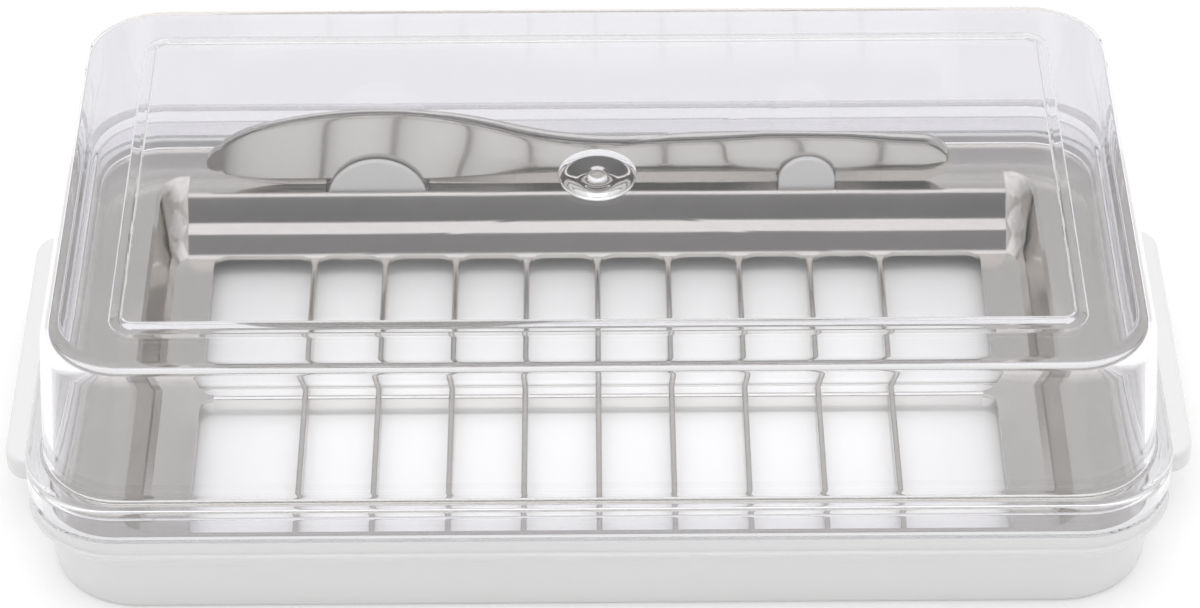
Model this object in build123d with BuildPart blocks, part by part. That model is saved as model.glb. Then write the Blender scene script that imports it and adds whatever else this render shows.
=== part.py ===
from build123d import *
from math import cos, hypot, radians, sin
import os

# Butter dish for a 200 g block: a white tray, a clear lid, a steel cutter that lies in the
# tray, and a butter knife that stands on edge behind the cutting grid. Millimetres, +Z up.
# The origin is on the table under the middle of the tray, and +Y points to the back.

# Tray
tray_length = 168.0
tray_width = 97.0
tray_corner = 14.0
tray_height = 15.4
band_height = 3.0
cove_height = 2.6
body_inset_top = 1.7
body_inset_foot = 2.7
body_corner = 13.5
band_edge = 0.5
waist_bend = 0.5
tray_top_edge = 0.3
foot_edge = 1.0
foot_ring_width = 3.2
foot_recess = 0.8
floor_top = 2.6

# Pocket in the tray: a ledge carries the cutter's flange
rim_land_side = 3.5
rim_land_front = 2.3
pocket_corner = 10.5
pocket_depth = 2.1
ledge_side = 1.5
ledge_front = 2.1
cavity_corner = 9.0
cavity_draft = 1.0

# Grips at the two ends of the tray
grip_overhang = 5.0
grip_span = 54.0
grip_thickness = 4.0
grip_drop = 3.4
grip_corner = 4.0
grip_edge = 1.0

# Tabs that hold the knife upright, in pairs before and behind it
tab_thickness = 1.0
tab_reach = 5.8
wide_tab_x = -35.2
wide_tab_width = 16.0
narrow_tab_x = 33.6
narrow_tab_width = 9.0
post_gap = 0.8

# Cutter frame, pressed from one sheet
sheet = 0.7
flange_clearance = 0.35
flange_corner = 10.0
flange_side = 10.15
flange_front = 2.85
ear_shelf = 7.85
recess_side_slope = 2.0
recess_front_slope = 1.5
ear_ramp = 9.5
recess_corner_top = 5.0
recess_corner_foot = 4.0
flange_bend = 0.5
foot_bend = 0.8
outer_bend = 1.0

# Stepped ridge across the back of the grid
ridge_end_gap = 2.5
shelf_depth = 12.55
upper_riser_run = 2.3
tread_run = 1.7
tread_rise = 0.7
lower_riser_run = 1.9
lower_riser_rise = 3.2
ridge_bend = 1.0
sheet_overlap = 1.0

# Cutting grid
plate_end = 6.7
plate_front = 3.5
cusp_radius = 2.0
blade_count = 9
blade_pitch = 11.3
blade_thickness = 0.9
blade_height = 2.8
bevel_height = 0.8
edge_thickness = 0.3
blade_floor_gap = 0.6
notch_clearance = 0.05

# Butter knife
knife_setback = 9.85
knife_thickness = 1.2
knife_clearance = 0.2
slot_clearance = 0.3
knife_length = 120.2
knife_shift = -3.5
knife_end_height = 9.3
knife_end_lean = 0.3
knife_neck_height = 9.5
knife_neck = 70.6
knife_flare_height = 12.0
knife_flare = 49.6
knife_brow_height = 12.3
knife_brow = 10.6
nose_height = 4.0
nose_radius = 2.5
heel_run = 15.8
knife_edge = 0.25

# Lid
lip_height = 5.4
lip_thickness = 1.6
lip_edge = 0.8
shoulder_width = 2.5
lid_rise = 28.9
lid_draft_side = 1.5
lid_draft_front = 1.7
lid_corner = 12.5
lid_wall = 1.6
lid_top_edge = 2.2
lid_inner_edge = 1.1
edge_steps = 5
shoulder_bend = 0.8
tongue_clearance = 0.3
tongue_thickness = 1.0
tongue_gap = 0.3

# Raised panel and moulding mark on the lid
panel_margin_side = 10.0
panel_margin_front = 8.7
panel_slope = 1.6
panel_rise = 0.6
panel_corner = 3.5
dimple_diameter = 11.0
dimple_floor = 7.0
dimple_depth = 1.3
gate_diameter = 2.6
gate_height = 0.4
dimple_boss_diameter = 9.4
dimple_boss_depth = 0.9
boss_taper = 30.0

os.makedirs("parts", exist_ok=True)

# Heights
band_foot = tray_height - band_height
cove_foot = band_foot - cove_height
seat_height = tray_height - pocket_depth
flange_top = seat_height + sheet
plate_top = floor_top + blade_floor_gap + blade_height
plate_foot = plate_top - sheet
blade_foot = plate_top - blade_height
recess_depth = flange_top - plate_top

# Outlines, as full lengths along X and widths along Y
pocket_length = tray_length - 2 * rim_land_side
pocket_width = tray_width - 2 * rim_land_front
flange_length = pocket_length - 2 * flange_clearance
flange_width = pocket_width - 2 * flange_clearance
cavity_length = pocket_length - 2 * ledge_side
cavity_width = pocket_width - 2 * ledge_front
recess_length = flange_length - 2 * flange_side
plate_length = recess_length - 2 * recess_side_slope
ridge_length = plate_length - 2 * ridge_end_gap
window_length = plate_length - 2 * plate_end

# Places along Y
recess_front = flange_front - flange_width / 2
recess_back = flange_width / 2 - ear_shelf
plate_front_edge = recess_front + recess_front_slope
plate_back_edge = recess_back - ear_ramp
shelf_edge = flange_width / 2 - shelf_depth
tread_back = shelf_edge - upper_riser_run
tread_front = tread_back - tread_run
window_back = tread_front - lower_riser_run
window_front = plate_front_edge + plate_front
window_width = window_back - window_front
window_middle = (window_back + window_front) / 2
knife_line = flange_width / 2 - knife_setback

# Places of the short blades along X
blade_places = [(index - (blade_count - 1) / 2) * blade_pitch for index in range(blade_count)]


def rounded_block(*sections):
    """Solid through level outlines: height, length, front edge, back edge, corner radius."""
    with BuildPart() as block:
        for height, length, front, back, corner in sections:
            with BuildSketch(Plane.XY.offset(height)):
                with Locations((0, (front + back) / 2)):
                    RectangleRounded(length, back - front, corner)
        loft(ruled=True)
    return block.part


def centred(height, length, width, corner):
    """Level outline for rounded_block, centred on the origin."""
    return height, length, -width / 2, width / 2, corner


def grown(outline, amount):
    """The same level outline, moved out by an amount all round."""
    height, length, front, back, corner = outline
    return height, length + 2 * amount, front - amount, back + amount, corner + amount


def between(low, high, height):
    """Level outline of the straight wall between two others, at a height."""
    share = (height - low[0]) / (high[0] - low[0])
    return tuple(start + (end - start) * share for start, end in zip(low, high))


def rounded_over(low, high, edge):
    """Level outlines that lead a wall through a rounded edge onto the top, for rounded_block."""
    outlines = []
    for step in range(edge_steps + 1):
        turn = radians(90 * step / edge_steps)
        level = between(low, high, high[0] - edge * (1 - sin(turn)))
        outlines.append(grown(level, edge * (cos(turn) - 1)))
    return outlines


def edges_at(solid, height):
    """Edges of a solid that lie level at one height."""
    return solid.edges().filter_by_position(Axis.Z, height - 0.01, height + 0.01)


def sheet_shift(run):
    """How far a recess wall's outer foot lies outside its inner foot, for the wall's run."""
    return sheet * (hypot(run, recess_depth) - run) / recess_depth


# Tray: a shallow white moulding. Its upright band meets the lid's lip, and below the band
# the wall draws in through a cove to a slightly tapered body on a foot ring.
tray_foot = centred(
    0, tray_length - 2 * body_inset_foot, tray_width - 2 * body_inset_foot, body_corner
)
tray_waist = centred(
    cove_foot, tray_length - 2 * body_inset_top, tray_width - 2 * body_inset_top, body_corner
)
tray_band = centred(band_foot, tray_length, tray_width, tray_corner)
tray_brim = centred(tray_height, tray_length, tray_width, tray_corner)
tray_shape = rounded_block(
    grown(tray_foot, -foot_edge),
    between(tray_foot, tray_waist, foot_edge),
    between(tray_foot, tray_waist, cove_foot - waist_bend),
    between(tray_waist, tray_band, cove_foot + waist_bend),
    between(tray_waist, tray_band, band_foot - band_edge),
    between(tray_band, tray_brim, band_foot + band_edge),
    between(tray_band, tray_brim, tray_height - tray_top_edge),
    grown(tray_brim, -tray_top_edge),
)
tray_pocket = rounded_block(
    centred(seat_height, pocket_length, pocket_width, pocket_corner),
    centred(tray_height, pocket_length, pocket_width, pocket_corner),
)
tray_cavity = rounded_block(
    centred(floor_top, cavity_length - 2 * cavity_draft, cavity_width - 2 * cavity_draft, cavity_corner),
    centred(seat_height, cavity_length, cavity_width, cavity_corner),
)

# Grips: one slab through the tray, which stands out at both ends, with its edges eased.
grip_top = tray_height - grip_drop
with BuildPart() as grips:
    with BuildSketch(Plane.XY.offset(grip_top - grip_thickness)):
        RectangleRounded(tray_length + 2 * grip_overhang, grip_span, grip_corner)
    extrude(amount=grip_thickness)
    chamfer(edges_at(grips, grip_top - grip_thickness) + edges_at(grips, grip_top), grip_edge)

tab_spacing = knife_thickness + 2 * knife_clearance
holder_depth = tab_spacing + 2 * tab_thickness
tab_top = flange_top + tab_reach
tabs = ((wide_tab_x, wide_tab_width), (narrow_tab_x, narrow_tab_width))

with BuildPart() as base:
    add(tray_shape)
    add(grips.part)
    add(tray_pocket, mode=Mode.SUBTRACT)
    add(tray_cavity, mode=Mode.SUBTRACT)
    with BuildSketch(Plane.XY):
        RectangleRounded(
            tray_length - 2 * (body_inset_foot + foot_ring_width),
            tray_width - 2 * (body_inset_foot + foot_ring_width),
            body_corner - foot_ring_width,
        )
    extrude(amount=foot_recess, mode=Mode.SUBTRACT)
    for tab_x, tab_width in tabs:
        with BuildSketch(Plane.XY.offset(floor_top)):
            with Locations((tab_x, knife_line)):
                Rectangle(tab_width, holder_depth)
        extrude(amount=seat_height - post_gap - floor_top)
        for tab_back in (knife_line - tab_spacing / 2, knife_line + tab_spacing / 2 + tab_thickness):
            with BuildSketch(Plane.XZ.offset(-tab_back)):
                with Locations((tab_x, tab_top - tab_width / 2)):
                    Circle(tab_width / 2)
                with Locations((tab_x, floor_top)):
                    Rectangle(
                        tab_width,
                        tab_top - tab_width / 2 - floor_top,
                        align=(Align.CENTER, Align.MIN),
                    )
            extrude(amount=tab_thickness)

base.part.label = "base"
export_step(base.part, "parts/base.step")

# Cutter frame: a flange that hangs on the tray's ledge, a sunk plate with the window for
# the butter, sloping ears at the back corners, and the stepped ridge between the ears.
outer_foot = (
    plate_foot,
    plate_length + 2 * sheet_shift(recess_side_slope),
    plate_front_edge - sheet_shift(recess_front_slope),
    plate_back_edge + sheet_shift(ear_ramp),
    recess_corner_foot + sheet,
)
outer_top = (
    seat_height,
    recess_length + 2 * sheet_shift(recess_side_slope),
    recess_front - sheet_shift(recess_front_slope),
    recess_back + sheet_shift(ear_ramp),
    recess_corner_top + sheet,
)
recess_outside = rounded_block(
    grown(outer_foot, -outer_bend),
    between(outer_foot, outer_top, plate_foot + outer_bend),
    outer_top,
)
inner_foot = (plate_top, plate_length, plate_front_edge, plate_back_edge, recess_corner_foot)
inner_top = (flange_top, recess_length, recess_front, recess_back, recess_corner_top)
recess_inside = rounded_block(
    grown(inner_foot, -foot_bend),
    between(inner_foot, inner_top, plate_top + foot_bend),
    between(inner_foot, inner_top, flange_top - flange_bend),
    grown(inner_top, flange_bend),
)

shelf_joint = recess_back + sheet_shift(ear_ramp)
ridge_line = (
    (window_back - sheet_overlap, plate_top),
    (window_back, plate_top),
    (tread_front, plate_top + lower_riser_rise),
    (tread_back, plate_top + lower_riser_rise + tread_rise),
    (shelf_edge, flange_top),
    (shelf_joint + sheet_overlap, flange_top),
)
ramp_underside = (
    (shelf_joint + sheet_overlap, flange_top),
    (shelf_joint + sheet_overlap, seat_height),
    (shelf_joint, seat_height),
    (plate_back_edge + sheet_shift(ear_ramp), plate_foot),
    (window_back - sheet_overlap, plate_foot),
    (window_back - sheet_overlap, plate_top),
)

with BuildPart() as cutter_frame:
    with BuildSketch(Plane.XY.offset(seat_height)):
        RectangleRounded(flange_length, flange_width, flange_corner)
    extrude(amount=sheet)
    add(recess_outside)
    add(recess_inside, mode=Mode.SUBTRACT)
    # The ridge takes the ramp's place between the ears.
    with BuildSketch(Plane.YZ.offset(-ridge_length / 2)):
        with Locations((window_back, plate_foot)):
            Rectangle(
                shelf_joint - window_back, flange_top - plate_foot, align=(Align.MIN, Align.MIN)
            )
    extrude(amount=ridge_length, mode=Mode.SUBTRACT)
    with BuildSketch(Plane.YZ.offset(-ridge_length / 2)):
        with BuildLine():
            FilletPolyline(*ridge_line, radius=ridge_bend)
            offset(amount=sheet, side=Side.RIGHT)
        make_face()
    extrude(amount=ridge_length)
    for cheek_place in (-ridge_length / 2, ridge_length / 2 - sheet):
        with BuildSketch(Plane.YZ.offset(cheek_place)):
            with BuildLine():
                FilletPolyline(*ridge_line, radius=ridge_bend)
                Polyline(*ramp_underside)
            make_face()
        extrude(amount=sheet)
    # The window has a cusp at each blade's end, where the sheet flows into the blade.
    blade_ends = [(x, y) for x in blade_places for y in (window_front, window_back)]
    beside = blade_thickness / 2 + cusp_radius
    with BuildSketch(Plane.XY.offset(plate_foot)):
        with Locations((0, window_middle)):
            RectangleRounded(window_length, window_width, cusp_radius)
        for x, y in blade_ends:
            with Locations((x, y)):
                Rectangle(2 * beside, 2 * cusp_radius, mode=Mode.SUBTRACT)
        for side in (-1, 1):
            with Locations((side * window_length / 2, window_middle)):
                Rectangle(2 * cusp_radius, 2 * beside, mode=Mode.SUBTRACT)
        for x in blade_places:
            for side in (-1, 1):
                for y in (window_front + cusp_radius, window_back - cusp_radius):
                    with Locations((x + side * beside, y)):
                        Circle(cusp_radius)
        for x in (cusp_radius - window_length / 2, window_length / 2 - cusp_radius):
            for side in (-1, 1):
                with Locations((x, window_middle + side * beside)):
                    Circle(cusp_radius)
    extrude(amount=sheet + ridge_bend, mode=Mode.SUBTRACT)
    # Slots for the tray's tabs.
    with BuildSketch(Plane.XY.offset(seat_height)):
        for tab_x, tab_width in tabs:
            with Locations((tab_x, knife_line)):
                Rectangle(tab_width + 2 * slot_clearance, holder_depth + 2 * slot_clearance)
    extrude(amount=sheet, mode=Mode.SUBTRACT)

cutter_frame.part.label = "cutter_frame"
export_step(cutter_frame.part, "parts/cutter_frame.step")

# Cutting blades: strips with a bevelled lower edge, halved into each other at the crossings.
blade_profile = (
    (-blade_thickness / 2, plate_top),
    (blade_thickness / 2, plate_top),
    (blade_thickness / 2, blade_foot + bevel_height),
    (edge_thickness / 2, blade_foot),
    (-edge_thickness / 2, blade_foot),
    (-blade_thickness / 2, blade_foot + bevel_height),
)
notch_width = blade_thickness + 2 * notch_clearance
notch_height = blade_height / 2

with BuildPart() as long_blade:
    with BuildSketch(Plane.YZ.offset(cusp_radius - window_length / 2)):
        with Locations((window_middle, 0)):
            Polygon(*blade_profile, align=None)
    extrude(amount=window_length - 2 * cusp_radius)
    with BuildSketch(Plane.XY.offset(plate_top)):
        for x in blade_places:
            with Locations((x, window_middle)):
                Rectangle(notch_width, notch_width)
    extrude(amount=-notch_height, mode=Mode.SUBTRACT)

long_blade.part.label = "long_blade"
export_step(long_blade.part, "parts/long_blade.step")

for index, x in enumerate(blade_places):
    with BuildPart() as cutting_blade:
        with BuildSketch(Plane.XZ.offset(cusp_radius - window_back)):
            with Locations((x, 0)):
                Polygon(*blade_profile, align=None)
        extrude(amount=window_width - 2 * cusp_radius)
        with BuildSketch(Plane.XY.offset(blade_foot)):
            with Locations((x, window_middle)):
                Rectangle(notch_width, notch_width)
        extrude(amount=notch_height, mode=Mode.SUBTRACT)
    cutting_blade.part.label = f"cutting_blade_{index + 1}"
    export_step(cutting_blade.part, f"parts/cutting_blade_{index + 1}.step")

# Butter knife: one flat stamping that stands on its edge on the cutter's rear shelf. Its
# outline is a chain of tangent arcs: rounded end, grip, neck, blade back, nose and heel.
knife_tip = knife_shift - knife_length / 2
knife_end = knife_shift + knife_length / 2
end_radius = knife_end_height / 2

with BuildPart() as butter_knife:
    with BuildSketch(Plane.XZ.offset(-(knife_line + knife_thickness / 2))) as knife_outline:
        with BuildLine():
            foot = Line(
                (knife_tip + heel_run, flange_top),
                (knife_end - end_radius - knife_end_lean, flange_top),
            )
            end = TangentArc(
                foot @ 1, (knife_end - end_radius, flange_top + knife_end_height), tangent=foot % 1
            )
            grip = TangentArc(
                end @ 1, (knife_tip + knife_neck, flange_top + knife_neck_height), tangent=end % 1
            )
            neck = TangentArc(
                grip @ 1, (knife_tip + knife_flare, flange_top + knife_flare_height), tangent=grip % 1
            )
            back = TangentArc(
                neck @ 1, (knife_tip + knife_brow, flange_top + knife_brow_height), tangent=neck % 1
            )
            brow = TangentArc(back @ 1, (knife_tip, flange_top + nose_height), tangent=back % 1)
            TangentArc(foot @ 0, brow @ 1, tangent=(-1, 0))
        make_face()
        fillet(knife_outline.vertices().sort_by(Axis.X)[0], nose_radius)
    extrude(amount=knife_thickness)
    flat_sides = butter_knife.faces().sort_by(SortBy.AREA)[-2:]
    chamfer(flat_sides.edges(), knife_edge)

butter_knife.part.label = "butter_knife"
export_step(butter_knife.part, "parts/butter_knife.step")

# Lid: a clear moulding with a drafted dome, a shoulder and an upright lip in line with the
# tray's band. A tongue inside the lip drops into the tray's pocket and keeps the lid in place.
lip_top = tray_height + lip_height
lid_top = tray_height + lid_rise
dome_length = tray_length - 2 * shoulder_width
dome_width = tray_width - 2 * shoulder_width
crown_length = dome_length - 2 * lid_draft_side
crown_width = dome_width - 2 * lid_draft_front
tongue_length = pocket_length - 2 * tongue_clearance
tongue_width = pocket_width - 2 * tongue_clearance
tongue_corner = pocket_corner - tongue_clearance
tongue_foot = flange_top + tongue_gap
panel_length = crown_length - 2 * panel_margin_side
panel_width = crown_width - 2 * panel_margin_front

dome_foot = centred(lip_top, dome_length, dome_width, lid_corner)
dome_top = centred(lid_top, crown_length, crown_width, lid_corner)
dome_outside = rounded_block(
    grown(dome_foot, shoulder_bend),
    between(dome_foot, dome_top, lip_top + shoulder_bend),
    *rounded_over(dome_foot, dome_top, lid_top_edge),
)
hollow_foot = grown(dome_foot, -lid_wall)
hollow_top = grown(between(dome_foot, dome_top, lid_top - lid_wall), -lid_wall)
dome_inside = rounded_block(
    hollow_foot,
    *rounded_over(hollow_foot, hollow_top, lid_inner_edge),
)
# The panel is raised inside too, so that the wall keeps its thickness.
panel_foot = centred(lid_top, panel_length, panel_width, panel_corner)
panel_crown = grown(centred(lid_top + panel_rise, panel_length, panel_width, panel_corner), -panel_slope)
lid_panel = rounded_block(panel_foot, panel_crown)
panel_hollow = lid_panel.moved(Location((0, 0, -lid_wall)))

with BuildPart() as lid:
    with BuildSketch(Plane.XY.offset(tray_height)):
        RectangleRounded(tray_length, tray_width, tray_corner)
    extrude(amount=lip_height)
    chamfer(edges_at(lid, lip_top), lip_edge)
    add(dome_outside)
    add(lid_panel)
    # The groove between lip and tongue keeps both thin.
    with BuildSketch(Plane.XY.offset(tray_height)):
        RectangleRounded(
            tray_length - 2 * lip_thickness,
            tray_width - 2 * lip_thickness,
            tray_corner - lip_thickness,
        )
    extrude(amount=lip_height - lid_wall, mode=Mode.SUBTRACT)
    with BuildSketch(Plane.XY.offset(tongue_foot)):
        RectangleRounded(tongue_length, tongue_width, tongue_corner)
    extrude(amount=lip_top - lid_wall - tongue_foot)
    with BuildSketch(Plane.XY.offset(tongue_foot)):
        RectangleRounded(
            tongue_length - 2 * tongue_thickness,
            tongue_width - 2 * tongue_thickness,
            tongue_corner - tongue_thickness,
        )
    extrude(amount=lip_top - tongue_foot, mode=Mode.SUBTRACT)
    add(dome_inside, mode=Mode.SUBTRACT)
    add(panel_hollow, mode=Mode.SUBTRACT)
    # The moulding gate lies in a dimple, over a shallow boss that keeps the wall's thickness.
    panel_top = lid_top + panel_rise
    with BuildSketch(Plane.XY.offset(panel_top - lid_wall)):
        Circle(dimple_boss_diameter / 2)
    extrude(amount=-dimple_boss_depth, taper=boss_taper)
    with BuildSketch(Plane.XZ):
        with BuildLine():
            Line((0, panel_top), (dimple_diameter / 2, panel_top))
            Spline(
                (dimple_diameter / 2, panel_top),
                (dimple_floor / 2, panel_top - dimple_depth),
                tangents=((-0.4, -1), (-1, -0.2)),
            )
            Polyline(
                (dimple_floor / 2, panel_top - dimple_depth),
                (gate_diameter / 2, panel_top - dimple_depth),
                (gate_diameter / 2, panel_top - dimple_depth + gate_height),
                (0, panel_top - dimple_depth + gate_height),
                (0, panel_top),
            )
        make_face()
    revolve(axis=Axis.Z, mode=Mode.SUBTRACT)

lid.part.label = "lid"
export_step(lid.part, "parts/lid.step")
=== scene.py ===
from math import atan2, cos, hypot, pi, radians, sin, sqrt

import bmesh
import bpy
from mathutils import Matrix, Vector


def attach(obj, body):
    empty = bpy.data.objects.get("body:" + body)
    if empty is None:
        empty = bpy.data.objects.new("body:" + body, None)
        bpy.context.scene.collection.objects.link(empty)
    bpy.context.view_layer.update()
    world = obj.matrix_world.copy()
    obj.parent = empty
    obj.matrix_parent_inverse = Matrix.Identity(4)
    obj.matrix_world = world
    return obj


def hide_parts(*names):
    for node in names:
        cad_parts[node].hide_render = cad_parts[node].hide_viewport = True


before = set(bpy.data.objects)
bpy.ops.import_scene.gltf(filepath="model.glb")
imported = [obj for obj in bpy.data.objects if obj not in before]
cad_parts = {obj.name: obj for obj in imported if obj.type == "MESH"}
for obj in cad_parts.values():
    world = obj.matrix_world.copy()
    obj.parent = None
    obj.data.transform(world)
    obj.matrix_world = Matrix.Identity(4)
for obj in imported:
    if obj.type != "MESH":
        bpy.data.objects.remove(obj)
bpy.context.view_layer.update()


# Tray
# A shallow white moulding in glossy plastic. The upright band meets the lid's lip, and a cove
# under it leads in to a tapered body on a foot ring. Grips and knife tabs are moulded on.
MM = 0.001
TRAY_HALF_LENGTH = 84.0
TRAY_HALF_WIDTH = 48.5
CORNER_STEPS = 16
ROUNDING_STEPS = 5
SHADING_WEIGHT = 60


def corner_loop(half_length, half_width, height, corner):
    """Points in mm round a level rounded rectangle, anticlockwise from above."""
    points = []
    for side_x, side_y, start in ((1, 1, 0), (-1, 1, 90), (-1, -1, 180), (1, -1, 270)):
        centre_x = side_x * (half_length - corner)
        centre_y = side_y * (half_width - corner)
        for step in range(CORNER_STEPS + 1):
            angle = radians(start + 90 * step / CORNER_STEPS)
            points.append((centre_x + corner * cos(angle), centre_y + corner * sin(angle), height))
    return points


def soften(profile):
    """Levels of a profile with its bends rounded.

    Each bend is inset from the sides, inset from front and back, height, corner radius and
    the distance from the bend at which its rounding starts."""
    levels = []
    for index, (*place, run) in enumerate(profile):
        here = Vector(place)
        if run == 0:
            levels.append(here)
            continue
        ends = []
        for other in (profile[index - 1], profile[index + 1]):
            step = Vector(other[:4]) - here
            length = hypot((abs(step[0]) + abs(step[1])) / 2, step[2])
            ends.append(here + step * (run / length))
        for count in range(ROUNDING_STEPS + 1):
            t = count / ROUNDING_STEPS
            levels.append(ends[0] * (1 - t) ** 2 + here * (2 * t * (1 - t)) + ends[1] * t ** 2)
    return levels


def skin(mesh_edit, loops):
    """Quads between loops of as many points each, and flat caps on the two ends."""
    rows = [[mesh_edit.verts.new(Vector(point) * MM) for point in loop] for loop in loops]
    for low, high in zip(rows, rows[1:]):
        for index in range(len(low)):
            after = (index + 1) % len(low)
            mesh_edit.faces.new((low[index], low[after], high[after], high[index]))
    mesh_edit.faces.new(list(reversed(rows[0])))
    mesh_edit.faces.new(rows[-1])


def tray_loops(profile):
    """Loops of a profile given as insets from the tray's outline."""
    return [
        corner_loop(TRAY_HALF_LENGTH - side, TRAY_HALF_WIDTH - front, height, corner)
        for side, front, height, corner in soften(profile)
    ]


def finish_piece(mesh_edit, name, material, body, nodes, smooth_angle=35):
    """A closed, smooth-shaded object that takes the place of CAD nodes."""
    bmesh.ops.remove_doubles(mesh_edit, verts=mesh_edit.verts, dist=1e-7)
    bmesh.ops.dissolve_degenerate(mesh_edit, edges=mesh_edit.edges, dist=1e-7)
    mesh = bpy.data.meshes.new(name)
    mesh_edit.to_mesh(mesh)
    mesh_edit.free()
    piece = bpy.data.objects.new(name, mesh)
    bpy.context.scene.collection.objects.link(piece)
    mesh.materials.append(material)
    for face in mesh.polygons:
        face.use_smooth = True
    mesh.set_sharp_from_angle(angle=radians(smooth_angle))
    even = piece.modifiers.new("even shading", "WEIGHTED_NORMAL")
    even.keep_sharp = True
    even.weight = SHADING_WEIGHT
    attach(piece, body)
    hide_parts(*nodes)


def add_node(material, kind, **values):
    """A shader node with its inputs set by name, with _ for a space."""
    node = material.node_tree.nodes.new(kind)
    for name, value in values.items():
        node.inputs[name.replace("_", " ")].default_value = value
    return node


def white_plastic():
    """Glossy white moulding: even and faintly mottled, with a very fine grain."""
    material = bpy.data.materials.new("white_plastic")
    material.use_nodes = True
    links = material.node_tree.links
    shader = material.node_tree.nodes["Principled BSDF"]
    shader.inputs["IOR"].default_value = 1.5
    place = add_node(material, "ShaderNodeTexCoord")
    mottle = add_node(material, "ShaderNodeTexNoise", Scale=38.0, Detail=1.0)
    links.new(place.outputs["Object"], mottle.inputs["Vector"])
    tone = material.node_tree.nodes.new("ShaderNodeValToRGB")
    tone.color_ramp.elements[0].color = (0.903, 0.903, 0.9, 1)
    tone.color_ramp.elements[1].color = (0.917, 0.917, 0.915, 1)
    links.new(mottle.outputs["Fac"], tone.inputs["Fac"])
    links.new(tone.outputs["Color"], shader.inputs["Base Color"])
    gloss = add_node(material, "ShaderNodeMapRange", To_Min=0.24, To_Max=0.28)
    links.new(mottle.outputs["Fac"], gloss.inputs["Value"])
    links.new(gloss.outputs["Result"], shader.inputs["Roughness"])
    grain = add_node(material, "ShaderNodeTexNoise", Scale=900.0, Detail=2.0)
    links.new(place.outputs["Object"], grain.inputs["Vector"])
    relief = add_node(material, "ShaderNodeBump", Strength=0.06, Distance=0.00005)
    links.new(grain.outputs["Fac"], relief.inputs["Height"])
    links.new(relief.outputs["Normal"], shader.inputs["Normal"])
    return material


tray_profile = (
    (5.9, 5.9, 0.8, 10.3, 0),
    (5.9, 5.9, 0.0, 10.3, 0.25),
    (2.7, 2.7, 0.0, 13.5, 1.0),
    (1.7, 1.7, 9.8, 13.5, 1.0),
    (0.0, 0.0, 12.2, 14.0, 0.4),
    (0.0, 0.0, 12.55, 14.0, 0.12),
    (0.5, 0.5, 12.75, 13.5, 0.1),
    (0.4, 0.4, 15.4, 13.6, 0.3),
    (3.5, 2.3, 15.4, 10.5, 0.3),
    (3.5, 2.3, 13.3, 10.5, 0.2),
    (5.0, 4.4, 13.3, 9.0, 0.3),
    (6.0, 5.4, 2.6, 9.0, 0.9),
    (12.0, 11.4, 2.6, 6.0, 0),
)
tray_edit = bmesh.new()
skin(tray_edit, tray_loops(tray_profile))

GRIP_MIDDLE = 84.25
GRIP_HALF_DEPTH = 4.75
GRIP_HALF_SPAN = 27.0
GRIP_BOTTOM, GRIP_TOP = 8.0, 12.0
GRIP_CORNER = 4.0
GRIP_ROUNDING = 0.9
grip_levels = soften((
    (3.0, 3.0, GRIP_BOTTOM, 1.0, 0),
    (0.0, 0.0, GRIP_BOTTOM, GRIP_CORNER, GRIP_ROUNDING),
    (0.0, 0.0, GRIP_TOP, GRIP_CORNER, GRIP_ROUNDING),
    (3.0, 3.0, GRIP_TOP, 1.0, 0),
))
for side in (-1, 1):
    loops = []
    for inset, _, height, corner in grip_levels:
        loop = corner_loop(GRIP_HALF_DEPTH - inset, GRIP_HALF_SPAN - inset, height, corner)
        loops.append([(x + side * GRIP_MIDDLE, y, z) for x, y, z in loop])
    skin(tray_edit, loops)

KNIFE_LINE = 36.0
TAB_GAP = 1.6
TAB_THICKNESS = 1.0
FLOOR_TOP = 2.6
TAB_SUNK = 0.2
TAB_FOOT = FLOOR_TOP - TAB_SUNK
TAB_TOP = 19.8
TAB_ROUNDING = 0.3
TAB_ARC_STEPS = 24
PLATE_EDGE_STEPS = 4
WIDE_TAB = (-35.2, 16.0)
NARROW_TAB = (33.6, 9.0)
POST_TOP = 12.5
POST_INSET = 0.05
POST_ROUNDING = 0.1


def upright_plate(mesh_edit, outline, front, thickness, rounding):
    """A flat upright plate with rounded edges; its outline is in X and Z, in mm."""
    inward = []
    for index in range(len(outline)):
        before = Vector(outline[index - 1])
        after = Vector(outline[(index + 1) % len(outline)])
        along = (after - before).normalized()
        inward.append((-along.y, along.x))
    steps = []
    for step in range(PLATE_EDGE_STEPS + 1):
        angle = pi / 2 * step / PLATE_EDGE_STEPS
        steps.append((rounding * (1 - sin(angle)), rounding * (1 - cos(angle))))
    places = [(inset, front + depth) for inset, depth in steps]
    places += [(inset, front + thickness - depth) for inset, depth in reversed(steps)]
    loops = []
    for inset, y in places:
        points = zip(outline, inward)
        loops.append([(x + n[0] * inset, y, z + n[1] * inset) for (x, z), n in points])
    skin(mesh_edit, loops)


# Each pair of tabs stands on a post, and the knife fits in the gap between the two.
for tab_x, tab_width in (WIDE_TAB, NARROW_TAB):
    radius = tab_width / 2
    foot = [(tab_x - radius, TAB_FOOT), (tab_x + radius, TAB_FOOT)]
    outline = list(foot)
    for step in range(TAB_ARC_STEPS + 1):
        angle = pi * step / TAB_ARC_STEPS
        outline.append((tab_x + radius * cos(angle), TAB_TOP - radius + radius * sin(angle)))
    first_front = KNIFE_LINE - TAB_GAP / 2 - TAB_THICKNESS
    for front in (first_front, KNIFE_LINE + TAB_GAP / 2):
        upright_plate(tray_edit, outline, front, TAB_THICKNESS, TAB_ROUNDING)
    post = foot + [(tab_x + radius, POST_TOP), (tab_x - radius, POST_TOP)]
    post_depth = TAB_GAP + 2 * TAB_THICKNESS - 2 * POST_INSET
    upright_plate(tray_edit, post, first_front + POST_INSET, post_depth, POST_ROUNDING)

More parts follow.
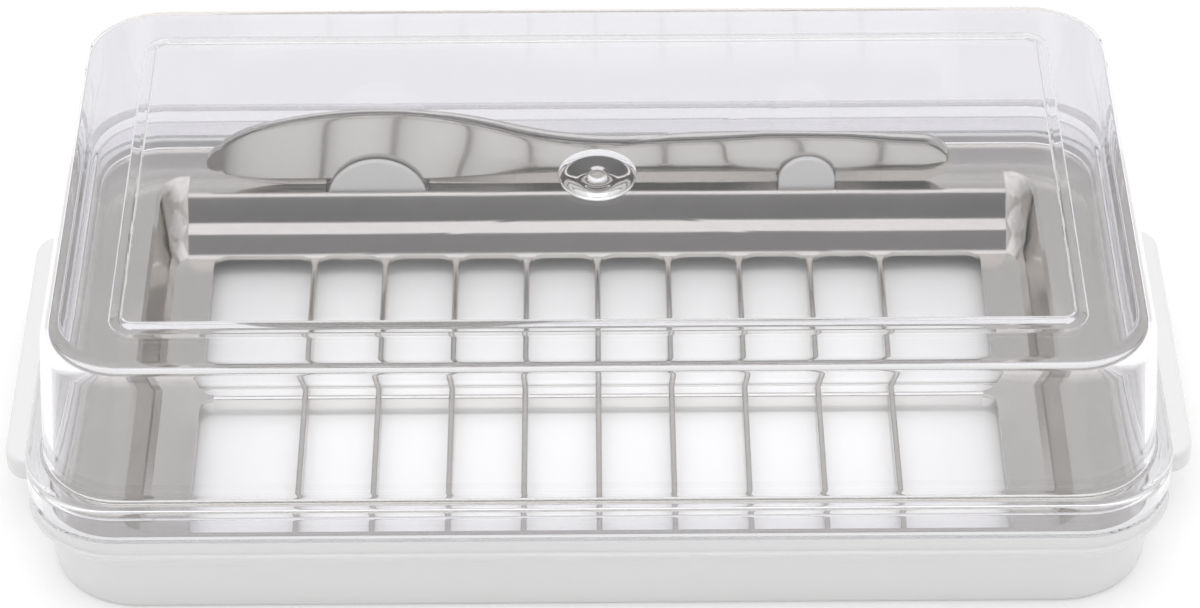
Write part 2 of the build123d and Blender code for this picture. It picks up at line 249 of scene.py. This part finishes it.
finish_piece(tray_edit, "tray_moulding", white_plastic(), "tray", ["base"])


# Cutter frame
# One stainless steel pressing, bright from the mill. Its flange hangs on the tray's ledge, and
# the stepped ridge and the sunk plate are pressed from the same sheet.
def pressed_steel(dull, bright):
    """Bright stainless sheet between two tones, with fine rolling lines and faint clouding."""
    material = bpy.data.materials.new("pressed_steel")
    material.use_nodes = True
    links = material.node_tree.links
    shader = material.node_tree.nodes["Principled BSDF"]
    shader.inputs["Metallic"].default_value = 1.0
    place = add_node(material, "ShaderNodeTexCoord")
    stretch = add_node(material, "ShaderNodeMapping", Scale=(0.08, 1.0, 1.0))
    links.new(place.outputs["Object"], stretch.inputs["Vector"])
    lines = add_node(material, "ShaderNodeTexNoise", Scale=2600.0, Detail=3.0)
    links.new(stretch.outputs["Vector"], lines.inputs["Vector"])
    cloud = add_node(material, "ShaderNodeTexNoise", Scale=45.0, Detail=4.0)
    links.new(place.outputs["Object"], cloud.inputs["Vector"])
    tone = material.node_tree.nodes.new("ShaderNodeValToRGB")
    tone.color_ramp.elements[0].color = dull
    tone.color_ramp.elements[1].color = bright
    links.new(cloud.outputs["Fac"], tone.inputs["Fac"])
    links.new(tone.outputs["Color"], shader.inputs["Base Color"])
    gloss = add_node(material, "ShaderNodeMapRange", To_Min=0.1, To_Max=0.17)
    links.new(cloud.outputs["Fac"], gloss.inputs["Value"])
    links.new(gloss.outputs["Result"], shader.inputs["Roughness"])
    relief = add_node(material, "ShaderNodeBump", Strength=0.08, Distance=0.00002)
    links.new(lines.outputs["Fac"], relief.inputs["Height"])
    links.new(relief.outputs["Normal"], shader.inputs["Normal"])
    return material


SHARP_BEND = 25
BEND_BEVEL = 0.12
steel = pressed_steel((0.63, 0.61, 0.58, 1), (0.70, 0.68, 0.65, 1))
frame_edit = bmesh.new()
frame_edit.from_mesh(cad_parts["cutter_frame"].data)
bmesh.ops.remove_doubles(frame_edit, verts=frame_edit.verts, dist=1e-6)
bmesh.ops.dissolve_limit(
    frame_edit, angle_limit=radians(0.5), verts=frame_edit.verts, edges=frame_edit.edges
)
bends = [
    edge
    for edge in frame_edit.edges
    if len(edge.link_faces) == 2 and edge.calc_face_angle(0) > radians(SHARP_BEND)
]
bmesh.ops.bevel(
    frame_edit,
    geom=bends,
    offset=BEND_BEVEL * MM,
    offset_type="OFFSET",
    segments=2,
    profile=0.5,
    affect="EDGES",
    clamp_overlap=True,
)
finish_piece(frame_edit, "cutter_sheet", steel, "cutter", ["cutter_frame"], 30)


# Long blade
# The strip along the window's middle, notched on top where the short blades sit in it.
BLADE_TOP = 6.0
BLADE_FOOT = 3.2
BLADE_CROSSING = -5.3
BLADE_PITCH = 11.3
BLADE_COUNT = 9
BLADE_HALF = 0.45
BLADE_BEVEL = 0.8
BACK_ROUNDING = 0.32
BACK_STEPS = 10
LONG_BLADE_END = 59.3
rounded_back = []
for step in range(BACK_STEPS + 1):
    angle = pi * step / BACK_STEPS
    rounded_back.append((-BLADE_HALF * cos(angle), BLADE_TOP - BACK_ROUNDING * (1 - sin(angle))))
BLADE_PROFILE = [
    *reversed(rounded_back),
    (-BLADE_HALF, BLADE_FOOT + BLADE_BEVEL),
    (-0.15, BLADE_FOOT + 0.05),
    (-0.08, BLADE_FOOT),
    (0.08, BLADE_FOOT),
    (0.15, BLADE_FOOT + 0.05),
    (BLADE_HALF, BLADE_FOOT + BLADE_BEVEL),
]
NOTCH_HALF = 0.5
NOTCH_LEVEL = (BLADE_TOP + BLADE_FOOT) / 2


def blade_sections(start, end, notches, keep_low):
    """Profiles along a blade as (place, points); a notch leaves its lower or its upper half."""
    full = BLADE_PROFILE
    limit = min if keep_low else max
    short = [(across, limit(height, NOTCH_LEVEL)) for across, height in full]
    sections = [(start, full)]
    for notch in notches:
        for side, profiles in ((-1, (full, short)), (1, (short, full))):
            sections += [(notch + side * NOTCH_HALF, profile) for profile in profiles]
    return sections + [(end, full)]


crossings = [(index - (BLADE_COUNT - 1) / 2) * BLADE_PITCH for index in range(BLADE_COUNT)]
long_edit = bmesh.new()
sections = blade_sections(-LONG_BLADE_END, LONG_BLADE_END, crossings, True)
skin(long_edit, [[(x, BLADE_CROSSING + y, z) for y, z in points] for x, points in sections])
# The long strip's steel is a lighter copy of the short blades' steel: a painted reflection of the
# white floor in front of its face.
steel_painted_reflection = pressed_steel((0.84, 0.83, 0.81, 1), (0.9, 0.89, 0.87, 1))
finish_piece(long_edit, "long_strip", steel_painted_reflection, "cutter", ["long_blade"], 50)


# Cutting blades
# Nine short strips across the window, a slice apart. One is modelled, and Geometry Nodes
# repeats it.
def row_tree():
    """Node tree that repeats its mesh in a row along X."""
    tree = bpy.data.node_groups.new("blade_row", "GeometryNodeTree")
    face = tree.interface
    face.new_socket("Geometry", in_out="INPUT", socket_type="NodeSocketGeometry")
    face.new_socket("Blade count", in_out="INPUT", socket_type="NodeSocketInt")
    face.new_socket("Pitch", in_out="INPUT", socket_type="NodeSocketFloat")
    face.new_socket("Steel", in_out="INPUT", socket_type="NodeSocketMaterial")
    face.new_socket("Geometry", in_out="OUTPUT", socket_type="NodeSocketGeometry")
    given = tree.nodes.new("NodeGroupInput")
    spots = tree.nodes.new("GeometryNodeMeshLine")
    step = tree.nodes.new("ShaderNodeCombineXYZ")
    first = tree.nodes.new("ShaderNodeVectorMath")
    first.operation = "SCALE"
    half = tree.nodes.new("ShaderNodeMath")
    half.operation = "MULTIPLY_ADD"
    half.inputs[1].default_value = -0.5
    half.inputs[2].default_value = 0.5
    place = tree.nodes.new("GeometryNodeInstanceOnPoints")
    realize = tree.nodes.new("GeometryNodeRealizeInstances")
    paint = tree.nodes.new("GeometryNodeSetMaterial")
    result = tree.nodes.new("NodeGroupOutput")
    tree.links.new(given.outputs["Blade count"], spots.inputs["Count"])
    tree.links.new(given.outputs["Pitch"], step.inputs["X"])
    tree.links.new(given.outputs["Blade count"], half.inputs[0])
    tree.links.new(step.outputs["Vector"], first.inputs[0])
    tree.links.new(half.outputs["Value"], first.inputs["Scale"])
    tree.links.new(first.outputs["Vector"], spots.inputs["Start Location"])
    tree.links.new(step.outputs["Vector"], spots.inputs["Offset"])
    tree.links.new(spots.outputs["Mesh"], place.inputs["Points"])
    tree.links.new(given.outputs["Geometry"], place.inputs["Instance"])
    tree.links.new(place.outputs["Instances"], realize.inputs["Geometry"])
    tree.links.new(realize.outputs["Geometry"], paint.inputs["Geometry"])
    tree.links.new(given.outputs["Steel"], paint.inputs["Material"])
    tree.links.new(paint.outputs["Geometry"], result.inputs["Geometry"])
    return tree


SHORT_BLADE_FRONT, SHORT_BLADE_BACK = -36.0, 25.4
strip_edit = bmesh.new()
sections = blade_sections(SHORT_BLADE_FRONT, SHORT_BLADE_BACK, [BLADE_CROSSING], False)
skin(strip_edit, [[(-x, y, z) for x, z in points] for y, points in sections])
strip_mesh = bpy.data.meshes.new("short_strip")
strip_edit.to_mesh(strip_mesh)
strip_edit.free()
strip = bpy.data.objects.new("short_strip", strip_mesh)
bpy.context.scene.collection.objects.link(strip)
row = strip.modifiers.new("row", "NODES")
row.node_group = row_tree()
sockets = {item.name: item.identifier for item in row.node_group.interface.items_tree}
row[sockets["Blade count"]] = BLADE_COUNT
row[sockets["Pitch"]] = BLADE_PITCH * MM
row[sockets["Steel"]] = steel
evaluated = strip.evaluated_get(bpy.context.evaluated_depsgraph_get())
row_mesh = bpy.data.meshes.new_from_object(evaluated)
bpy.data.objects.remove(strip)
row_edit = bmesh.new()
row_edit.from_mesh(row_mesh)
short_blades = [f"cutting_blade_{index + 1}" for index in range(BLADE_COUNT)]
finish_piece(row_edit, "short_strips", steel, "cutter", short_blades, 50)


# Butter knife
# A one-piece stainless spreader, polished, which stands on its edge. The blade is flat, and the
# handle is thicker above and bevelled below.
def polished_steel():
    """Polished stainless: nearly a mirror, and a little duller in patches."""
    material = bpy.data.materials.new("polished_steel")
    material.use_nodes = True
    links = material.node_tree.links
    shader = material.node_tree.nodes["Principled BSDF"]
    shader.inputs["Metallic"].default_value = 1.0
    shader.inputs["Base Color"].default_value = (0.61, 0.597, 0.575, 1)
    place = add_node(material, "ShaderNodeTexCoord")
    cloud = add_node(material, "ShaderNodeTexNoise", Scale=60.0, Detail=4.0)
    links.new(place.outputs["Object"], cloud.inputs["Vector"])
    gloss = add_node(material, "ShaderNodeMapRange", To_Min=0.06, To_Max=0.14)
    links.new(cloud.outputs["Fac"], gloss.inputs["Value"])
    links.new(gloss.outputs["Result"], shader.inputs["Roughness"])
    return material


def arc_points(start, heading, end, count):
    """Points along the arc that leaves start at a heading and reaches end, and its last heading."""
    chord = Vector(end) - Vector(start)
    turn = atan2(chord.y, chord.x) - heading
    turn = (turn + pi) % (2 * pi) - pi
    points = []
    for index in range(1, count + 1):
        share = index / count
        reach = chord.length * (sin(turn * share) / sin(turn) if abs(turn) > 1e-6 else share)
        aim = heading + turn * share
        points.append((start[0] + reach * cos(aim), start[1] + reach * sin(aim)))
    return points, heading + 2 * turn


SHELF_TOP = 14.0
KNIFE_TIP = -63.6
KNIFE_END = 56.6
NOSE = (KNIFE_TIP, SHELF_TOP + 4.0)
heel_start = (KNIFE_TIP + 15.8, SHELF_TOP)
foot_end = (KNIFE_END - 4.95, SHELF_TOP)
upper = [foot_end]
heading = 0.0
for stop, count in (
    ((KNIFE_END - 4.65, SHELF_TOP + 9.3), 24),
    ((KNIFE_TIP + 70.6, SHELF_TOP + 9.5), 20),
    ((KNIFE_TIP + 49.6, SHELF_TOP + 12.0), 16),
    ((KNIFE_TIP + 10.6, SHELF_TOP + 12.3), 24),
    (NOSE, 12),
):
    points, heading = arc_points(upper[-1], heading, stop, count)
    upper += points
lower = [foot_end, heel_start] + arc_points(heel_start, pi, NOSE, 16)[0]
NOSE_RADIUS = 2.5
TIP_INSET = 1.214
END_INSET = 0.002
LEAST_REACH = 0.02
HANDLE_START = -34.0
HANDLE_BLEND = 26.0
BLADE_SIDE = 0.6
HANDLE_SIDE = 1.1
SIDE_BETWEEN_TABS = 0.74
TAB_REACH = 6.5
SWELL_PAST_TABS = 0.05


def height_at(chain, x, highest):
    """Where a chain of points crosses a place along X, at its highest or lowest."""
    found = []
    for (x0, z0), (x1, z1) in zip(chain, chain[1:]):
        if min(x0, x1) <= x <= max(x0, x1) and x0 != x1:
            found.append(z0 + (z1 - z0) * (x - x0) / (x1 - x0))
    return max(found) if highest else min(found)


tip_x = KNIFE_TIP + TIP_INSET
end_x = max(x for x, _ in upper) - END_INSET
STATIONS = 120
ROWS = 28
knife_edit = bmesh.new()
knife_loops = []
for station in range(STATIONS + 1):
    x = (tip_x + end_x) / 2 - (end_x - tip_x) / 2 * cos(pi * station / STATIONS)
    top = height_at(upper, x, True)
    foot = min(height_at(upper + lower[1:][::-1] if x > foot_end[0] else lower, x, False), top)
    middle = (top + foot) / 2
    reach = (top - foot) / 2
    if x < tip_x + NOSE_RADIUS:
        inside = NOSE_RADIUS - (x - tip_x)
        reach = min(reach, sqrt(max(NOSE_RADIUS ** 2 - inside ** 2, LEAST_REACH ** 2)))
    # How far the section has turned from the flat blade's into the handle's
    share = 0.5 - 0.5 * cos(pi * min(1.0, max(0.0, (x - HANDLE_START) / HANDLE_BLEND)))
    edge_power = 14.0 - 8.0 * share
    past_tabs = max(0.0, abs(x - NARROW_TAB[0]) - TAB_REACH)
    near_tabs = SIDE_BETWEEN_TABS + SWELL_PAST_TABS * past_tabs
    thickest = BLADE_SIDE + (HANDLE_SIDE - BLADE_SIDE) * share
    half = min(thickest, near_tabs, 0.25 + 0.5 * reach)
    loop = []
    for side in (-1, 1):
        for index in range(ROWS):
            up = -cos(pi * index / ROWS) * side
            rounded = half * sqrt(max(0.0, 1 - abs(up) ** edge_power))
            bevelled = half * (1 - 0.85 * share * max(0.0, -up) ** 1.15)
            y = KNIFE_LINE - side * min(rounded, bevelled)
            loop.append((x, y, middle + reach * up))
    knife_loops.append(loop)
skin(knife_edit, [list(reversed(loop)) for loop in knife_loops])
finish_piece(knife_edit, "spreader", polished_steel(), "knife", ["butter_knife"], 60)


# Lid
# A clear injection moulding with a raised panel on top. Its lip stands on the tray's band, and
# a tongue inside the lip drops into the pocket.
def clear_plastic():
    """Clear glossy plastic with the slight waviness of a moulding."""
    material = bpy.data.materials.new("clear_plastic")
    material.use_nodes = True
    nodes = material.node_tree.nodes
    links = material.node_tree.links
    shader = nodes["Principled BSDF"]
    shader.inputs["Base Color"].default_value = (0.9, 0.895, 0.915, 1)
    shader.inputs["Transmission Weight"].default_value = 1.0
    shader.inputs["IOR"].default_value = 1.5
    place = add_node(material, "ShaderNodeTexCoord")
    rubs = add_node(material, "ShaderNodeTexNoise", Scale=120.0, Detail=4.0)
    links.new(place.outputs["Object"], rubs.inputs["Vector"])
    gloss = add_node(material, "ShaderNodeMapRange", To_Min=0.0, To_Max=0.05)
    links.new(rubs.outputs["Fac"], gloss.inputs["Value"])
    links.new(gloss.outputs["Result"], shader.inputs["Roughness"])
    wave = add_node(material, "ShaderNodeTexNoise", Scale=55.0, Detail=1.0)
    links.new(place.outputs["Object"], wave.inputs["Vector"])
    relief = add_node(material, "ShaderNodeBump", Strength=0.15, Distance=0.0002)
    links.new(wave.outputs["Fac"], relief.inputs["Height"])
    links.new(relief.outputs["Normal"], shader.inputs["Normal"])
    path = add_node(material, "ShaderNodeLightPath")
    through = add_node(material, "ShaderNodeBsdfTransparent", Color=(0.99, 0.99, 0.99, 1))
    choose = add_node(material, "ShaderNodeMixShader")

    def compare(operation, first, second):
        """One step of the choice between clear plastic and plain passage."""
        node = nodes.new("ShaderNodeMath")
        node.operation = operation
        for socket, value in zip(node.inputs, (first, second)):
            if isinstance(value, float):
                socket.default_value = value
            else:
                links.new(value, socket)
        return node.outputs["Value"]

    # Lamp light and light between the pieces inside goes straight through, and so does light
    # that runs along inside the wall, which would otherwise end in black.
    passed = path.outputs["Transmission Depth"]
    guided = compare(
        "MULTIPLY",
        compare("GREATER_THAN", path.outputs["Glossy Depth"], compare("ADD", passed, 1.5)),
        compare("MODULO", passed, 2.0),
    )
    late = compare("GREATER_THAN", path.outputs["Ray Depth"], 7.5)
    lighting = compare("MAXIMUM", path.outputs["Is Shadow Ray"], path.outputs["Is Diffuse Ray"])
    links.new(compare("MAXIMUM", lighting, compare("MAXIMUM", guided, late)), choose.inputs[0])
    links.new(shader.outputs["BSDF"], choose.inputs[1])
    links.new(through.outputs["BSDF"], choose.inputs[2])
    links.new(choose.outputs["Shader"], nodes["Material Output"].inputs["Surface"])
    return material


PANEL_TOP = 44.9
ROOF_TOP = 44.3
ROOF = 1.6
lid_profile = (
    (20.0, 19.0, PANEL_TOP, 1.0, 0),
    (15.95, 14.85, PANEL_TOP, 1.55, 0),
    (15.8, 14.7, PANEL_TOP - 0.14, 1.7, 0),
    (15.6, 14.5, PANEL_TOP - 0.02, 1.9, 0),
    (14.15, 13.05, 44.32, 3.35, 0),
    (14.0, 12.9, 44.16, 3.5, 0),
    (13.85, 12.75, 44.3, 3.65, 0),
    (4.0, 4.2, ROOF_TOP, 12.5, 3.0),
    (2.5, 2.5, 21.6, 12.5, 0.6),
    (0.0, 0.0, 21.6, 14.0, 0.8),
    (0.0, 0.0, 15.4, 14.0, 0.1),
    (1.6, 1.6, 15.4, 12.4, 0.05),
    (1.6, 1.6, 19.2, 12.4, 0.3),
    (3.8, 2.6, 19.2, 10.2, 0.25),
    (3.8, 2.6, 14.3, 10.2, 0.3),
    (4.8, 3.6, 14.3, 9.2, 0.3),
    (4.8, 3.6, 20.6, 9.2, 0.3),
    (4.1, 4.1, 21.4, 10.9, 0.4),
    (5.5, 5.7, ROOF_TOP - ROOF, 10.9, 0.3),
    (14.0, 12.9, ROOF_TOP - ROOF, 3.5, 0.25),
    (15.6, 14.5, PANEL_TOP - ROOF, 1.9, 0.25),
    (20.0, 19.0, PANEL_TOP - ROOF, 1.0, 0),
)
# The moulding gate lies in a dimple in the middle, over a shallow boss inside. Each ring is a
# radius and a height.
dimple_rings = (
    (5.9, PANEL_TOP),
    (5.75, PANEL_TOP - 0.1),
    (5.5, PANEL_TOP - 0.28),
    (4.5, PANEL_TOP - 0.42),
    (3.0, PANEL_TOP - 0.52),
    (1.6, PANEL_TOP - 0.55),
    (1.4, PANEL_TOP - 0.5),
    (1.25, PANEL_TOP - 0.3),
    (1.1, PANEL_TOP - 0.2),
    (0.8, PANEL_TOP - 0.18),
)
boss_rings = (
    (5.7, PANEL_TOP - ROOF),
    (5.5, PANEL_TOP - ROOF - 0.06),
    (4.4, PANEL_TOP - ROOF - 0.5),
    (3.2, PANEL_TOP - ROOF - 0.86),
    (2.0, PANEL_TOP - ROOF - 0.98),
)
loops = [corner_loop(radius, radius, height, radius) for radius, height in reversed(dimple_rings)]
loops += tray_loops(lid_profile)
loops += [corner_loop(radius, radius, height, radius) for radius, height in boss_rings]
lid_edit = bmesh.new()
skin(lid_edit, [list(reversed(loop)) for loop in loops])
finish_piece(lid_edit, "clear_lid", clear_plastic(), "cover", ["lid"], 40)


# Studio
# A white table in even light from all sides, brightest overhead and dim only low down on the
# viewer's side, with a soft lamp above the grid and the camera of the photograph.
TABLE_HALF = 3.0
TABLE_LEVEL = -0.05
TABLE_LIFT = 0.2
table_edit = bmesh.new()
bmesh.ops.create_grid(table_edit, x_segments=8, y_segments=8, size=TABLE_HALF)
table_mesh = bpy.data.meshes.new("table_top")
table_edit.to_mesh(table_mesh)
table_edit.free()
table = bpy.data.objects.new("table_top", table_mesh)
bpy.context.scene.collection.objects.link(table)
table.location.z = TABLE_LEVEL * MM
table_white = bpy.data.materials.new("table_white")
table_white.use_nodes = True
table_shader = table_white.node_tree.nodes["Principled BSDF"]
table_shader.inputs["Base Color"].default_value = (0.9, 0.9, 0.9, 1)
table_shader.inputs["Roughness"].default_value = 0.9
table_shader.inputs["Specular IOR Level"].default_value = 0.1
# The table is plain white to the camera, in the metal and through the lid.
table_links = table_white.node_tree.links
table_path = add_node(table_white, "ShaderNodeLightPath")
seen = table_path.outputs["Is Camera Ray"]
for ray in ("Is Glossy Ray", "Is Transmission Ray"):
    either = add_node(table_white, "ShaderNodeMath")
    either.operation = "MAXIMUM"
    table_links.new(seen, either.inputs[0])
    table_links.new(table_path.outputs[ray], either.inputs[1])
    seen = either.outputs["Value"]
lift = add_node(table_white, "ShaderNodeMath")
lift.operation = "MULTIPLY"
lift.inputs[1].default_value = TABLE_LIFT
table_links.new(seen, lift.inputs[0])
table_shader.inputs["Emission Color"].default_value = (1, 1, 1, 1)
table_links.new(lift.outputs["Value"], table_shader.inputs["Emission Strength"])
table_mesh.materials.append(table_white)

world = bpy.data.worlds.new("studio")
bpy.context.scene.world = world
world.use_nodes = True
sky = world.node_tree
background = sky.nodes["Background"]
background.inputs["Color"].default_value = (1, 1, 1, 1)
direction = sky.nodes.new("ShaderNodeTexCoord")
split = sky.nodes.new("ShaderNodeSeparateXYZ")
sky.links.new(direction.outputs["Generated"], split.inputs["Vector"])


def ramp(value, start, end, low, high):
    """A smooth change from low to high while a value goes from start to end."""
    node = sky.nodes.new("ShaderNodeMapRange")
    node.interpolation_type = "SMOOTHSTEP"
    node.inputs["From Min"].default_value = start
    node.inputs["From Max"].default_value = end
    node.inputs["To Min"].default_value = low
    node.inputs["To Max"].default_value = high
    sky.links.new(value, node.inputs["Value"])
    return node.outputs["Result"]


def combine(operation, first, second):
    """One step of arithmetic on two values of the world."""
    node = sky.nodes.new("ShaderNodeMath")
    node.operation = operation
    sky.links.new(first, node.inputs[0])
    sky.links.new(second, node.inputs[1])
    return node.outputs["Value"]


overhead = ramp(split.outputs["Z"], 0.62, 0.95, 0.74, 1.45)
in_front = ramp(split.outputs["Y"], -0.5, -0.2, 1.0, 0.0)
aside = combine("MULTIPLY", split.outputs["X"], split.outputs["X"])
toward_viewer = combine("MULTIPLY", in_front, ramp(aside, 0.03, 0.15, 1.0, 0.0))
low_down = ramp(split.outputs["Z"], 0.55, 0.78, 0.45, 0.0)
lowest = ramp(split.outputs["Z"], 0.3, 0.4, 0.24, 0.0)
dim = combine("MULTIPLY", toward_viewer, combine("ADD", low_down, lowest))
brightness = combine("SUBTRACT", overhead, dim)
sky_path = sky.nodes.new("ShaderNodeLightPath")


def unless(depth):
    """1 while a ray hasn't bounced in the given way, and 0 after that."""
    node = sky.nodes.new("ShaderNodeMath")
    node.operation = "LESS_THAN"
    node.inputs[1].default_value = 0.5
    sky.links.new(sky_path.outputs[depth], node.inputs[0])
    return node.outputs["Value"]


straight = combine("MULTIPLY", unless("Glossy Depth"), unless("Diffuse Depth"))
behind_glass = combine("MULTIPLY", sky_path.outputs["Is Transmission Ray"], straight)
shown = combine("MAXIMUM", sky_path.outputs["Is Camera Ray"], behind_glass)
plain = sky.nodes.new("ShaderNodeMix")
plain.data_type = "FLOAT"
plain.inputs["B"].default_value = 1.0
sky.links.new(shown, plain.inputs["Factor"])
sky.links.new(brightness, plain.inputs["A"])
sky.links.new(plain.outputs["Result"], background.inputs["Strength"])

lamp_data = bpy.data.lights.new("softbox", "AREA")
lamp_data.shape = "RECTANGLE"
lamp_data.size = 0.12
lamp_data.size_y = 0.06
lamp_data.spread = radians(8)
lamp_data.energy = 0.0075
lamp = bpy.data.objects.new("softbox", lamp_data)
bpy.context.scene.collection.objects.link(lamp)
lamp.location = (0.0, -0.006, 0.38)
lamp.visible_camera = False
lamp.visible_glossy = False
lamp.visible_transmission = False

camera_data = bpy.data.cameras.new("camera")
camera = bpy.data.objects.new("camera", camera_data)
bpy.context.scene.collection.objects.link(camera)
# Fitted to the photograph: lengths in its pixels, angles in degrees
PHOTO_WIDTH = 1200
FOCAL_PIXELS = 4033.35
SHIFT_PIXELS = -1.93
CAMERA_PLACE = (-0.001093, -0.4733, 0.41615)
CAMERA_PITCH = 39.94
CAMERA_YAW = -0.17
CAMERA_ROLL = -0.25
SENSOR_WIDTH = 36
camera_data.sensor_width = SENSOR_WIDTH
camera_data.lens = SENSOR_WIDTH * FOCAL_PIXELS / PHOTO_WIDTH
camera_data.shift_y = SHIFT_PIXELS / PHOTO_WIDTH
camera_data.clip_end = 20
camera.matrix_world = (
    Matrix.Translation(CAMERA_PLACE)
    @ Matrix.Rotation(radians(CAMERA_YAW), 4, "Z")
    @ Matrix.Rotation(radians(90 - CAMERA_PITCH), 4, "X")
    @ Matrix.Rotation(radians(CAMERA_ROLL), 4, "Z")
)
bpy.context.scene.camera = camera
bpy.context.scene.view_settings.view_transform = "Standard"

bpy.context.view_layer.update()
